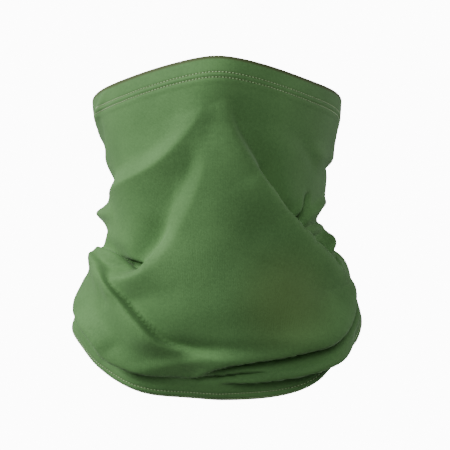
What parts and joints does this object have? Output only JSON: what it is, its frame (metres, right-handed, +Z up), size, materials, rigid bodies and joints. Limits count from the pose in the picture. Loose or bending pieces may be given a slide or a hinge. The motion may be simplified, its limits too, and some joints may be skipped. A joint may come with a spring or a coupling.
{
  "type": "neck gaiter",
  "caption": "Hemmed tube of stretch knit worn over the neck, chin and nose, with stitched hems, an overlocked side seam and a folded care label that swings inside.",
  "frame": {"origin": "middle of the neck opening, level with the lowest point of the bottom hem", "axes": "+Z up along the tube towards the nose, -Y towards the front of the face, +X across the face on the side of the seam"},
  "size_m": [0.19, 0.1809, 0.2105],
  "materials": {
    "knit": "fine smooth knit, slight satin sheen",
    "thread": "spun polyester thread",
    "label_tape": "satin tape, blank"
  },
  "bodies": {
    "gaiter": {"tube_panel": "knit", "top_hem_turn": "knit", "bottom_hem_turn": "knit", "top_hem_needle_thread_near": "thread", "top_hem_needle_thread_far": "thread", "bottom_hem_needle_thread_near": "thread", "bottom_hem_needle_thread_far": "thread", "top_hem_looper_thread": "thread", "bottom_hem_looper_thread": "thread", "side_seam_allowance": "knit", "side_seam_overlock_thread": "thread", "care_label_tail": "label_tape"},
    "label": {"care_label": "label_tape"}
  },
  "joints": [
    {"name": "label_swing", "type": "hinge", "parent": "gaiter", "child": "label", "pos_m": [0.06503, -0.0139, 0.136], "axis": [0, 0, 1], "range_deg": [-5, 140]}
  ]
}
